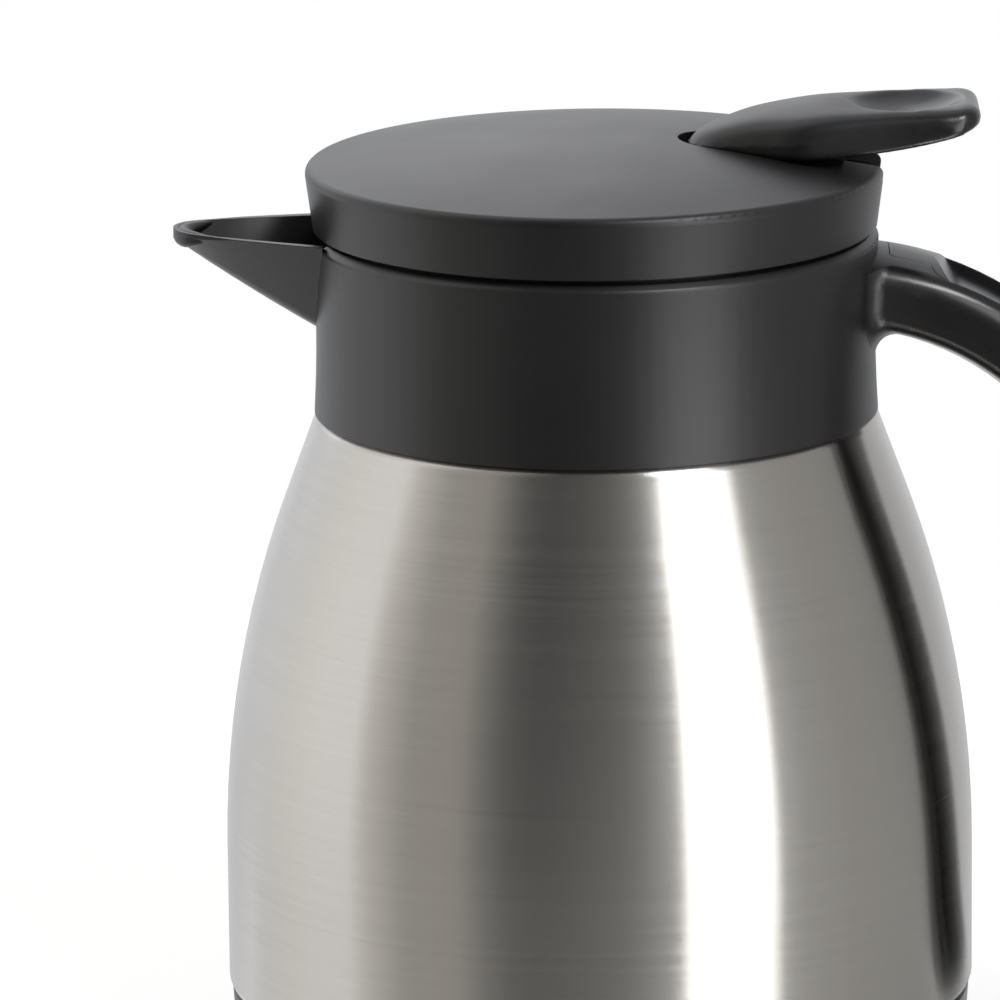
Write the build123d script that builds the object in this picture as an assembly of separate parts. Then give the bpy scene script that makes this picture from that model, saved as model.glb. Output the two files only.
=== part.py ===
from build123d import *
import os
from math import sin, cos, tan, asin, atan2, radians, sqrt

# Thermal carafe: a double-walled steel bottle under a plastic pouring collar that carries the
# spout and an open handle, closed by a stopper whose lid has a thumb lever. Millimetres, +Z up,
# origin in the middle of the foot. The spout points to -X, the handle and the lever to +X.

# Steel bottle
sheet = 0.8                 # sheet thickness of shell, liner and closing dish
barrel_r = 70.05            # outer radius of the straight lower wall
straight_top_z = 38.5       # height where the straight wall starts to draw in
draw_arc_r = 191.0          # radius of the long curve above it
draw_angle = 20.4           # half angle of the cone that follows, degrees
seam_z = 12.0               # lower edge of the steel
hem_width = 2.4             # width of the rolled-in lower edge
hem_round = 1.4
shoulder_z = 120.2          # where the cone breaks into the sloping shoulder
shoulder_round = 1.2
lip_room = 3.9              # between the rolled mouth lip and the collar's bore
lip_width = 1.9             # of the rolled lip, beyond the shell's neck
neck_gap = 2.5              # between the outer radii of the shell's neck and the liner's
neck_rise = 19.5            # from the shoulder's edge to the top of the neck, under the rolled lip
vacuum_gap = 4.5
floor_space = 4.8           # between the dish's underside and the liner's floor
liner_floor_round = 14.0
liner_weld = 1.5            # weld of the liner's floor, above that rounding
dish_rise = 4.2             # underside of the closing dish, above the steel's lower edge
dish_rim = 5.0              # height of the dish's turned-up rim
vent_r = 1.5                # evacuation hole
vent_dimple_r = 7.0
vent_dimple_depth = 1.6
seal_bead_r = 4.0

# Base cap
cap_wall = 2.2
cap_inset = 0.55            # how far the cap stands back from the steel
cap_seam_gap = 0.5          # dark line between the steel and the cap
cap_bottom_round = 3.6
foot_width = 6.0            # flat ring that the carafe stands on
foot_recess = 1.8
cap_spigot = 4.0            # height of the ring that grips inside the hem

# Pouring collar
collar_top_r = 52.6         # outer radius under the bevel of the rim
collar_waist_in = 0.65      # the side draws in by this at the waist
collar_bottom_in = 0.15     # and by this at the bottom
waist_drop = 20.2           # the waist lies this far below the rim
rim_rise = 15.5             # from the top of the neck to the collar's rim
rim_bevel = 1.25
rim_land = 2.05             # flat width of the rim inside its bevel
floor_drop = 0.7            # floor of the ring channel round the stopper, below the top of the neck
collar_floor = 4.0
collar_edge_round = 0.7
fit_gap = 0.3               # between moulded pieces and the steel that they sit on
gasket_wall = 0.6

# Spout, moulded with the collar
spout_root_in = 1.1         # the spout's sizes below are taken this far inside the collar's rim
spout_root_half = 16.0      # half width at the rim
spout_root_deep = 18.3      # from the collar's rim down to the lowest point of the rounded keel
spout_mid_run = 12.6        # from the root to the middle section
spout_run = 26.7            # from the root to the tip
spout_mid_half = 11.6
spout_mid_deep = 10.6
spout_tip_half = 6.0
spout_tip_deep = 0.8
spout_tip_rise = 0.9        # the pouring edge stands a little above the collar's rim
spout_wall = 1.9
spout_edge = 0.9            # wall at the pouring edge
spout_nose_r = 7.6          # rounding of the tip, seen from above
spout_keel_r = 5.0

# Handle, moulded with the collar: an open C with a free lower end
handle_start_in = 5.6       # the centre line starts this far inside the collar's rim
handle_drop = 10.67         # and this far below it
handle_start_fall = 2.9     # degrees below level where it leaves the collar
handle_bend_1_r = 56.0      # radius of the centre line
handle_bend_1_turn = 77.1   # degrees turned
handle_bend_2_r = 150.0
handle_bend_2_turn = 21.5   # degrees
handle_bend_3_r = 83.0
handle_bend_3_turn = 22.0   # degrees
handle_width = 27.0
handle_thick = 15.4
handle_crown_r = 36.0
handle_edge_r = 4.4
handle_root_round = 4.0
channel_half = 10.9         # half width between the side walls
channel_ledge = 1.9         # ledge that the insert rests on
channel_depth = 11.4
channel_start = 13.5        # along the centre line, from its start
channel_end_margin = 6.5
key_half = 6.6              # half width of the insert's flush head
insert_thick = 2.6
insert_sink = 3.4           # below the top of the handle beyond the head
insert_gap = 0.12
insert_ramp = 5.0

# Lid cover
lid_gap = 1.0               # dark joint between collar and lid
lid_bottom_in = 0.3         # the lid's lower edge stands back from the collar by this
lid_flare = 1.3             # and its side leans out by this up to the rim
lid_height = 10.8           # from the collar's rim to the lid's own rim
lid_rim_round = 1.5
lid_crown = 5.2             # rise of the dome
lid_wall = 2.2
pocket_gap = 0.8            # beside the lever
pocket_nose_gap = 1.9       # in front of the lever's nose
pocket_rise = 2.9           # floor of the lever's pocket, above the lid's rim
pocket_wall = 1.8
slot_gap = 0.5              # each side of the lever's web
slot_behind = 7.7           # the slot starts this far from the lever's pivot, towards the middle
notch_depth = 2.0           # of the slot's end, in the lid's rim

# Stopper plug
plug_gap = 1.0              # between the plug and the liner's neck
plug_wall = 2.4
plug_reach = 12.2           # below the top of the neck
bore_gap = 0.4              # between the stopper and the collar's bore
bore_ring_reach = 5.2       # ring in the bore, below the collar's rim
bore_ring_wall = 2.5
deck_rise = 1.2             # underside of the stopper's deck, above the collar's rim
deck = 2.0
deck_gap = 0.2
window_rise = 2.3           # above the top of the neck
window_height = 7.0
window_count = 8
window_angle = 26.0
locate_wall = 1.6           # ring under the deck that centres the plug's sleeve
locate_height = 2.4
locate_gap = 0.1
boss_r = 8.2
boss_reach = 6.9            # below the deck
seal_rise = 5.7             # above the plug's lower edge
seal_height = 3.6
seal_groove = 1.3
seal_run = 0.1              # the lip only brushes the neck here

# Valve seat
seat_plate = 2.4
port_r = 13.0
ridge_wall = 1.6
ridge_height = 1.5
spigot_height = 5.0
spigot_wall = 2.2
spigot_gap = 0.1
oring_wire = 1.6

# Valve
stem_r = 2.5
stem_below = 2.9            # the stem ends below the plug's lower edge
stem_above = 1.4            # and above the lever's pivot
stem_run = 0.1
washer_wall = 1.4
valve_gap = 0.1             # running gap at the seat
disc_r = 17.4
disc_thick = 1.8
hub_r = 4.6
hub_height = 6.0
cross_pin_r = 1.2
nut_across = 9.0
nut_height = 3.6
nut_flange_r = 7.4          # flange that holds the washer
nut_flange = 1.0
wiper_wall = 1.5
wiper_height = 1.7
wiper_rise = 2.0            # above the foot of the guide boss
spring_r = 6.9              # mean radius of the coil
spring_wire = 0.9
spring_turns = 6.0

# Lever
pivot_in = 12.6             # the lever's pivot lies this far inside the collar's rim
pivot_rise = 4.6            # and this far above the stopper's deck
lever_ahead = 30.9          # from the pivot out to the thumb's end
lever_tip_half = 13.5
lever_tip_r = 5.6           # corners of the blunt tip
lever_behind = 22.7         # from the pivot back to the nose
lever_mid_r = 14.2
lever_nose_r = 8.0
lever_edge_round = 2.6
lever_bottom_round = 1.2
lever_rest_gap = 0.35       # between the resting lever and the pocket's floor
lever_nose_high = 3.8       # heights of the top above the underside's lowest point, nose to tip
lever_neck_high = 5.5
lever_web_high = 7.4
lever_mid_high = 9.3
lever_pad_high = 10.05
lever_tip_high = 10.2
lever_neck_low = 0.5        # heights of the underside above the same point
lever_web_low = 1.0
lever_mid_low = 2.0
lever_pad_low = 3.9
lever_tip_low = 7.0
dimple_ahead = 17.3         # from the pivot
dimple_long = 10.8
dimple_wide = 9.6
dimple_depth = 2.2
web_half = 5.8
web_behind = 6.4            # the web spans the pivot
web_ahead = 6.2
pin_r = 1.5
pin_gap = 0.05
ear_wall = 2.6
ear_gap = 0.35
ear_r = 3.4
arm_half = 5.4
arm_drop = 4.1              # underside of the arm, below the pivot
arm_height = 2.2
fork_gap = 0.5              # each side of the stem
fork_overlap = 4.0          # past the stem's axis
press_angle = 8.0           # full travel of the thumb lever, degrees

# Screws that hold the lid cover
screw_in = 9.2              # screws stand this far inside the plug's outer radius
screw_angles = (60.0, 180.0, 300.0)
screw_r = 1.45
screw_head_r = 2.8
screw_head = 2.2
screw_length = 8.0
screw_boss_r = 3.4
screw_gap = 0.1


def turned(face):
    """Solid of revolution about the upright axis from a face drawn as (radius, height)."""
    return revolve(Plane.XZ * face, Axis.Z)


def outline(*points, rounds=()):
    """Face through the points, with the corners named in rounds filleted: ((x, y), radius)."""
    face = make_face(Polyline(*points, close=True))
    for corner, radius in rounds:
        face = fillet(face.vertices().sort_by_distance((corner[0], corner[1], 0))[0], radius)
    return face


def ring(r_in, r_out, z_low, z_high):
    """Plain ring or, with no inner radius, a disc."""
    solid = Pos(0, 0, z_low) * Cylinder(r_out, z_high - z_low, align=(Align.CENTER, Align.CENTER, Align.MIN))
    if r_in > 0:
        solid -= Pos(0, 0, z_low) * Cylinder(r_in, z_high - z_low, align=(Align.CENTER, Align.CENTER, Align.MIN))
    return solid


def across(face, half):
    """Solid from a face drawn in the upright plane through the axis, of a half width to each side."""
    return Pos(0, half, 0) * extrude(Plane.XZ * face, 2 * half)


# Radii that stack up from the collar's rim inwards, and the lid above it
collar_waist_r = collar_top_r - collar_waist_in
collar_bottom_r = collar_top_r - collar_bottom_in
bore = collar_top_r - rim_bevel - rim_land
lip_r = bore - lip_room
neck_r = lip_r - lip_width
liner_neck_r = neck_r - neck_gap
plug_r = liner_neck_r - sheet - plug_gap
lid_bottom_r = collar_top_r - lid_bottom_in
lid_max_r = lid_bottom_r + lid_flare
spout_root_x = collar_top_r - spout_root_in
spout_mid_x = spout_root_x + spout_mid_run
spout_reach = spout_root_x + spout_run
handle_start_x = collar_top_r - handle_start_in
screw_circle_r = plug_r - screw_in
pivot_x = collar_top_r - pivot_in
lever_tip_x = pivot_x + lever_ahead
lever_mid_x = pivot_x
lever_nose_x = pivot_x - lever_behind
dimple_x = pivot_x + dimple_ahead
web_start_x = pivot_x - web_behind
web_end_x = pivot_x + web_ahead
slot_start_x = pivot_x - slot_behind

# Heights that stack up from the steel's lower edge and from its shoulder
dish_floor_z = seam_z + dish_rise
liner_floor_z = dish_floor_z + floor_space
mouth_z = shoulder_z + neck_rise
collar_floor_z = mouth_z - floor_drop
collar_rim_z = mouth_z + rim_rise
collar_waist_z = collar_rim_z - waist_drop
spout_root_keel_z = collar_rim_z - spout_root_deep
spout_mid_keel_z = collar_rim_z - spout_mid_deep
spout_tip_keel_z = collar_rim_z - spout_tip_deep
spout_tip_z = collar_rim_z + spout_tip_rise
handle_start_z = collar_rim_z - handle_drop
lid_max_z = collar_rim_z + lid_height
pocket_floor_z = lid_max_z + pocket_rise
slot_floor_z = lid_max_z - notch_depth
plug_bottom_z = mouth_z - plug_reach
window_z = mouth_z + window_rise
seal_z = plug_bottom_z + seal_rise
bore_ring_z = collar_rim_z - bore_ring_reach
deck_z = collar_rim_z + deck_rise
boss_bottom_z = deck_z - boss_reach
wiper_z = boss_bottom_z + wiper_rise
pivot_z = deck_z + deck + pivot_rise
arm_bottom_z = pivot_z - arm_drop
stem_bottom_z = plug_bottom_z - stem_below
stem_top_z = pivot_z + stem_above

# Outline of the bottle, moved inwards by any amount
draw = radians(draw_angle)
arc_centre_r = barrel_r - draw_arc_r


def cone_radius(height):
    """Outer radius of the cone above the long curve."""
    top = straight_top_z + draw_arc_r * sin(draw)
    return arc_centre_r + draw_arc_r * cos(draw) - (height - top) * tan(draw)


shoulder_r = cone_radius(shoulder_z)
beyond = 4 * barrel_r       # longer than any piece, for cuts that run right through


def bottle_edges(inset, low_z, neck, high_z):
    """Edges from the straight wall's foot up to the neck, and the corner at the shoulder."""
    arc_r = draw_arc_r - inset
    foot = (barrel_r - inset, low_z)
    spring_line = (barrel_r - inset, straight_top_z)
    mid = (arc_centre_r + arc_r * cos(draw / 2), straight_top_z + arc_r * sin(draw / 2))
    arc_end = (arc_centre_r + arc_r * cos(draw), straight_top_z + arc_r * sin(draw))
    slant = shoulder_r + shoulder_z - inset * sqrt(2)
    run = (slant - arc_end[0] - arc_end[1]) / (cos(draw) - sin(draw))
    corner = (arc_end[0] - run * sin(draw), arc_end[1] + run * cos(draw))
    root = (neck, slant - neck)
    top = (neck, high_z)
    edges = [Line(foot, spring_line), ThreePointArc(spring_line, mid, arc_end), Line(arc_end, corner),
             Line(corner, root), Line(root, top)]
    return edges, foot, top, corner, root


# Outer shell: one sheet with a rolled-in foot and a neck
out_edges, out_foot, out_top, out_corner, out_root = bottle_edges(0, seam_z, neck_r, mouth_z)
in_edges, in_foot, in_top, in_corner, in_root = bottle_edges(sheet, seam_z + sheet, neck_r - sheet, mouth_z)
hem_out = (barrel_r - hem_width, seam_z)
hem_in = (barrel_r - hem_width, seam_z + sheet)
shell_face = make_face(out_edges + [Line(out_top, in_top)] + in_edges
                       + [Line(in_foot, hem_in), Line(hem_in, hem_out), Line(hem_out, out_foot)])
for corner, radius in ((out_foot, hem_round), (in_foot, hem_round - sheet), (out_corner, shoulder_round + sheet),
                       (in_corner, shoulder_round)):
    shell_face = fillet(shell_face.vertices().sort_by_distance((corner[0], corner[1], 0))[0], radius)
outer_shell = turned(shell_face)

# Inner liner: the bottle itself, with its lip rolled over the collar's floor, and a welded floor
liner_inset = sheet + vacuum_gap
body_edges, low, top, corner, root = bottle_edges(liner_inset, liner_floor_z, liner_neck_r, mouth_z)
body_face = make_face(body_edges + [Line(top, (0, mouth_z)), Line((0, mouth_z), (0, liner_floor_z)),
                                    Line((0, liner_floor_z), low)])
body_face = fillet(body_face.vertices().sort_by_distance((low[0], low[1], 0))[0], liner_floor_round)
bore_r = liner_neck_r - sheet
lip_top_z = mouth_z + sheet
room_edges, low, top, corner, root = bottle_edges(liner_inset + sheet, liner_floor_z + sheet, bore_r, lip_top_z)
room_face = make_face(room_edges + [Line(top, (0, lip_top_z)), Line((0, lip_top_z), (0, liner_floor_z + sheet)),
                                    Line((0, liner_floor_z + sheet), low)])
room_face = fillet(room_face.vertices().sort_by_distance((low[0], low[1], 0))[0], liner_floor_round - sheet)
lip_face = outline((liner_neck_r - sheet / 2, mouth_z), (lip_r, mouth_z), (lip_r, lip_top_z),
                   (liner_neck_r - sheet / 2, lip_top_z), rounds=(((lip_r, lip_top_z), sheet * 0.6),))
whole_liner = turned(body_face) + turned(lip_face) - turned(room_face)
weld_z = liner_floor_z + liner_floor_round + liner_weld
below_weld = ring(0, 2 * barrel_r, weld_z - 2 * barrel_r, weld_z)
liner_floor = whole_liner & below_weld
inner_liner = whole_liner - below_weld

# Closing dish of the vacuum space, with the evacuation dimple in its middle
dish_r = barrel_r - sheet - 0.05
dish_top = dish_floor_z + sheet
dimple_top = dish_floor_z + vent_dimple_depth
shell_bottom = turned(outline(
    (vent_r, dimple_top), (vent_dimple_r, dimple_top), (vent_dimple_r, dish_floor_z), (dish_r, dish_floor_z),
    (dish_r, dish_floor_z + dish_rim), (dish_r - sheet, dish_floor_z + dish_rim), (dish_r - sheet, dish_top),
    (vent_dimple_r + sheet, dish_top), (vent_dimple_r + sheet, dimple_top + sheet), (vent_r, dimple_top + sheet),
    rounds=(((dish_r, dish_floor_z), 2.0), ((dish_r - sheet, dish_top), 2.0 - sheet))))

# Bead that closes the evacuation hole
vacuum_seal = turned(outline((0, dish_floor_z + 0.2), (seal_bead_r, dish_floor_z + 0.2), (seal_bead_r, dimple_top),
                             (vent_r - 0.02, dimple_top), (vent_r - 0.02, dimple_top + sheet), (0, dimple_top + sheet),
                             rounds=(((seal_bead_r, dish_floor_z + 0.2), 0.9),)))

# Base cap: a shallow cup with a foot ring, gripping inside the steel's hem
cap_r = barrel_r - cap_inset
cap_top = seam_z - cap_seam_gap
spigot_r = barrel_r - hem_width - fit_gap / 2
foot_r = cap_r - cap_bottom_round - 1.0
base_cap = turned(outline(
    (0, foot_recess), (foot_r - foot_width, foot_recess), (foot_r - foot_width, 0), (cap_r - 0.8, 0), (cap_r, cap_top),
    (spigot_r, cap_top), (spigot_r, seam_z + cap_spigot), (spigot_r - cap_wall, seam_z + cap_spigot),
    (spigot_r - cap_wall, foot_recess + cap_wall), (0, foot_recess + cap_wall),
    rounds=(((cap_r - 0.8, 0), cap_bottom_round), ((foot_r - foot_width, 0), 0.8),
            ((spigot_r - cap_wall, foot_recess + cap_wall), 3.0), ((cap_r, cap_top), 0.6))))

# Neck gasket, squeezed between the mouth lip and the collar's floor
gasket_top = mouth_z - 0.02
neck_gasket = ring(neck_r + 0.05, lip_r - 0.1, gasket_top - gasket_wall, gasket_top)

# Pouring collar: ring with a bore for the stopper, standing on the steel shoulder
floor_r = neck_r + fit_gap
shoulder_line = shoulder_r + shoulder_z + fit_gap * sqrt(2)     # radius plus height along the shoulder
collar_bottom_z = shoulder_line - collar_bottom_r + collar_edge_round
skirt_in = bore
gasket_low = gasket_top - gasket_wall
collar_side = ThreePointArc((collar_bottom_r, collar_bottom_z), (collar_waist_r, collar_waist_z),
                            (collar_top_r, collar_rim_z - rim_bevel))
collar_points = [(collar_top_r, collar_rim_z - rim_bevel), (collar_top_r - rim_bevel, collar_rim_z),
                 (bore, collar_rim_z), (bore, collar_floor_z), (lip_r + 0.3, collar_floor_z),
                 (lip_r + 0.3, gasket_low), (floor_r, gasket_low), (floor_r, collar_floor_z - collar_floor),
                 (skirt_in, collar_floor_z - collar_floor), (skirt_in, shoulder_line - skirt_in),
                 (collar_bottom_r - collar_edge_round, collar_bottom_z), (collar_bottom_r, collar_bottom_z)]
collar_face = make_face([collar_side] + [Line(a, b) for a, b in zip(collar_points, collar_points[1:])])
collar_face = fillet(collar_face.vertices().sort_by_distance((collar_top_r, collar_rim_z - rim_bevel, 0))[0], 0.8)
collar_ring = turned(collar_face)


# Spout: a V-shaped lip, lofted from the collar out to the tip and rounded at its nose
def spout_section(x, half, keel, top, wall=0.0):
    """Section across the spout; with a wall it is the room inside, run up past the rim."""
    half -= 1.15 * wall
    depth = top - keel - 1.25 * wall
    radius = min(spout_keel_r - wall, 0.8 * half)
    centre = depth - radius
    lean = (half * centre + radius * sqrt(centre ** 2 + half ** 2 - radius ** 2)) / (half ** 2 - radius ** 2)
    point = (0, top - half * lean)
    if wall:
        over = top + spout_root_half
        face = outline((-half, over), (-half, top), point, (half, top), (half, over), rounds=((point, radius),))
    else:
        face = outline((-half, top), point, (half, top), rounds=((point, radius),))
    return Plane(origin=(-x, 0, 0), x_dir=(0, 1, 0), z_dir=(1, 0, 0)) * face


def spout_loft(start_x, wall_root, wall_tip):
    """Loft through the sections at the root, in the middle and at the tip."""
    wall_mid = (wall_root + wall_tip) / 2
    rise = (spout_mid_x - start_x) / (spout_mid_x - spout_root_x)
    half = spout_mid_half + rise * (spout_root_half - spout_mid_half)
    keel = spout_mid_keel_z + rise * (spout_root_keel_z - spout_mid_keel_z)
    top_mid = collar_rim_z + (spout_tip_z - collar_rim_z) * (spout_mid_x - spout_root_x) / (spout_reach - spout_root_x)
    return loft([spout_section(start_x, half, keel, collar_rim_z, wall_root),
                 spout_section(spout_mid_x, spout_mid_half, spout_mid_keel_z, top_mid, wall_mid),
                 spout_section(spout_reach + 0.4, spout_tip_half, spout_tip_keel_z, spout_tip_z, wall_tip)])


def spout_plan(inset):
    """Plan of the spout with its round nose."""
    nose = spout_nose_r - inset
    centre = spout_reach - spout_nose_r
    back = spout_root_half + 8
    plan = make_hull((Pos(-centre, 0) * Circle(nose)).edges()
                     + (Pos(-(spout_root_x - 12), 0) * Rectangle(1, 2 * back)).edges())
    return Pos(0, 0, collar_floor_z - 20) * extrude(plan, 60)


spout_body = spout_loft(spout_root_x - 1.5, 0, 0) & spout_plan(0)
spout_room = spout_loft(bore - 6, spout_wall, spout_edge) & spout_plan(spout_edge)
spout_room &= Pos(0, 0, collar_floor_z) * Box(beyond, beyond, beyond, align=(Align.CENTER, Align.CENTER, Align.MIN))


# Handle: centre line of tangent arcs, with any curve beside it at a steady distance
handle_bends = ((handle_bend_1_r, handle_bend_1_turn), (handle_bend_2_r, handle_bend_2_turn),
                (handle_bend_3_r, handle_bend_3_turn))
handle_length = sum(r * radians(turn) for r, turn in handle_bends)


def handle_arcs(offset, begin, end):
    """Arcs beside the handle's centre line, from one length along it to another."""
    x, z, heading = handle_start_x, handle_start_z, -radians(handle_start_fall)
    passed, arcs = 0.0, []
    for bend_r, turn in handle_bends:
        cx, cz = x + bend_r * sin(heading), z - bend_r * cos(heading)
        length = bend_r * radians(turn)
        a = max(begin, passed)
        b = min(end, passed + length)
        if b - a > 0.01:
            points = [(cx - (bend_r + offset) * sin(heading - (s - passed) / bend_r),
                       cz + (bend_r + offset) * cos(heading - (s - passed) / bend_r)) for s in (a, (a + b) / 2, b)]
            arcs.append(ThreePointArc(*points))
        heading -= radians(turn)
        x, z = cx - bend_r * sin(heading), cz + bend_r * cos(heading)
        passed += length
    return arcs


def handle_point(along, offset=0.0):
    """Point beside the centre line, its heading there, and the plane across the handle."""
    arc = handle_arcs(offset, 0, along)[-1]
    point, direction = arc @ 1, arc % 1
    plane = Plane(origin=(point.X, 0, point.Y), x_dir=(0, 1, 0), z_dir=(direction.X, 0, direction.Y))
    return point, plane


def handle_band(low, high, half, begin, end):
    """Strip of the handle between two offsets from its centre line, of a steady half width."""
    upper = handle_arcs(high, begin, end)
    lower = handle_arcs(low, begin, end)
    face = make_face(upper + lower + [Line(upper[0] @ 0, lower[0] @ 0), Line(upper[-1] @ 1, lower[-1] @ 1)])
    return across(face, half)


half_thick = handle_thick / 2
crown = Circle(handle_crown_r)
handle_section = (Rectangle(handle_width, handle_thick) & Pos(0, half_thick - handle_crown_r) * crown
                  & Pos(0, handle_crown_r - half_thick) * crown)
handle_section = fillet(handle_section.vertices(), handle_edge_r)
start_arc = handle_arcs(0, 0, 1.0)[0]
start_dir = start_arc % 0
start_plane = Plane(origin=(handle_start_x, 0, handle_start_z), x_dir=(0, 1, 0),
                    z_dir=(start_dir.X, 0, start_dir.Y))
handle_path = Plane.XZ * Wire(handle_arcs(0, 0, handle_length))
handle_body = sweep(start_plane * handle_section, path=handle_path)
end_point, end_plane = handle_point(handle_length)
half_section = handle_section & Pos(0, half_thick) * Rectangle(2 * handle_width, handle_thick)
end_axis = Axis((end_point.X, 0, end_point.Y), (0, 1, 0))
handle_cap = revolve(end_plane * half_section, end_axis, 180)

top_cut = half_thick + 3
channel_stop = handle_length - channel_end_margin
ledge_offset = half_thick - insert_sink - insert_thick
channel = handle_band(ledge_offset, top_cut, channel_half, channel_start, channel_stop)
channel = fillet(channel.edges().filter_by(lambda e: abs(e.length - (top_cut - ledge_offset)) < 0.3), 3.4)
core = handle_band(half_thick - channel_depth, top_cut, channel_half - channel_ledge,
                   channel_start + 2, channel_stop - 2)
key_start = handle_start_in + 0.6
key_slot = handle_band(ledge_offset, top_cut, key_half, key_start, channel_start + 4)
key_slot = fillet(key_slot.edges().filter_by(lambda e: abs(e.length - (top_cut - ledge_offset)) < 0.3)
                  .sort_by(Axis.X)[:2], 1.2)

# The handle leaves the collar with a flare at its sides and underside, and level at its top
side_r = collar_side.radius + 0.06
side_circle = Pos(collar_side.arc_center.X, collar_side.arc_center.Y) * Circle(side_r)
wall_low_z = shoulder_line - bore + 1
wall_block = Pos(bore, wall_low_z) * Rectangle(10, collar_rim_z + 10 - wall_low_z, align=(Align.MIN, Align.MIN))
tall_wall = turned(wall_block - side_circle)
flare = tall_wall + handle_body


def off_wall(edge):
    """Largest distance of an edge from the collar's outer wall."""
    points = [edge @ t for t in (0.1, 0.5, 0.9)]
    return max(abs(sqrt((sqrt(p.X ** 2 + p.Y ** 2) - collar_side.arc_center.X) ** 2
                        + (p.Z - collar_side.arc_center.Y) ** 2) - side_r) for p in points)


flare_edges = [e for e in flare.edges() if off_wall(e) < 0.05 and e.center().X > bore
               and abs(e.center().Y) < handle_width and abs(e.center().Z - handle_start_z) < handle_thick]
flare = fillet(flare_edges, handle_root_round)
over_section = Pos(0, half_thick + 2) * Rectangle(3 * handle_width, 14) - Pos(0, half_thick - handle_crown_r) * crown
over_path = Plane.XZ * Wire(handle_arcs(0, 0, channel_start))
flare -= sweep(start_plane * over_section, path=over_path)
flare -= ring(0, bore + 0.5, wall_low_z - 1, collar_rim_z + 13)
flare -= Pos(0, 0, handle_start_z + half_thick) * Box(beyond, beyond, beyond,
                                                      align=(Align.CENTER, Align.CENTER, Align.MIN))
flare &= Pos(bore * 0.8, 0, 0) * Box(beyond, 2 * handle_width, 2 * beyond,
                                     align=(Align.MIN, Align.CENTER, Align.CENTER))
pouring_collar = collar_ring + spout_body + flare + handle_cap
pouring_collar -= spout_room
pouring_collar -= channel
pouring_collar -= core
pouring_collar -= key_slot

# Handle insert: flush head at the root, then a ramp down to the sunk strip between the walls
flush_end = channel_start + 0.8
ramp_end = flush_end + insert_ramp
strip_start, strip_stop = channel_start + insert_gap, channel_stop - insert_gap
blank = handle_band(ledge_offset, half_thick + 1, channel_half - insert_gap, strip_start, strip_stop)
blank = fillet(blank.edges().filter_by(lambda e: abs(e.length - (half_thick + 1 - ledge_offset)) < 0.3),
               3.4 - insert_gap)
head = handle_band(ledge_offset, half_thick + 1, key_half - insert_gap, key_start + insert_gap, channel_start + 4)
head = fillet(head.edges().filter_by(lambda e: abs(e.length - (half_thick + 1 - ledge_offset)) < 0.3)
              .sort_by(Axis.X)[:2], 1.2 - insert_gap)
flush_arcs = handle_arcs(half_thick, key_start, flush_end)
sunk_arcs = handle_arcs(half_thick - insert_sink, ramp_end, channel_stop)
under_arcs = handle_arcs(ledge_offset, key_start, channel_stop)
side_view = make_face(flush_arcs + [Line(flush_arcs[-1] @ 1, sunk_arcs[0] @ 0)] + sunk_arcs + under_arcs
                      + [Line(sunk_arcs[-1] @ 1, under_arcs[-1] @ 1), Line(flush_arcs[0] @ 0, under_arcs[0] @ 0)])
side_view = fillet([side_view.vertices().sort_by_distance((p.X, p.Y, 0))[0]
                    for p in (flush_arcs[-1] @ 1, sunk_arcs[0] @ 0)], 3.0)
handle_insert = (blank + head) & across(side_view, handle_width)
handle_insert &= handle_body

# Lid cover: dome with a rounded rim
lid_bottom_z = collar_rim_z + lid_gap
lid_rim_z = lid_max_z + lid_rim_round
dome_r = (lid_max_r ** 2 + lid_crown ** 2) / (2 * lid_crown)
dome_centre_z = lid_rim_z + lid_crown - dome_r


def dome_height(radius, inset=0.0):
    """Height of the dome's surface, moved inwards by an inset, at a radius."""
    return dome_centre_z + sqrt((dome_r - inset) ** 2 - radius ** 2)


def lid_form(inset, low_z):
    """The lid's outer form, or its inner one where it is moved inwards."""
    side_low = (lid_bottom_r - inset, low_z)
    side_top = (lid_max_r - inset, lid_max_z - inset)
    rim = (lid_max_r - inset, dome_height(lid_max_r - inset, inset))
    apex = (0, dome_height(0, inset))
    mid = (lid_max_r / 2, dome_height(lid_max_r / 2, inset))
    face = make_face([Line((0, low_z), side_low), Line(side_low, side_top), Line(side_top, rim),
                      ThreePointArc(rim, mid, apex), Line(apex, (0, low_z))])
    if inset == 0:
        face = fillet(face.vertices().sort_by_distance((rim[0], rim[1], 0))[0], lid_rim_round * 0.98)
    return turned(face)


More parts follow.
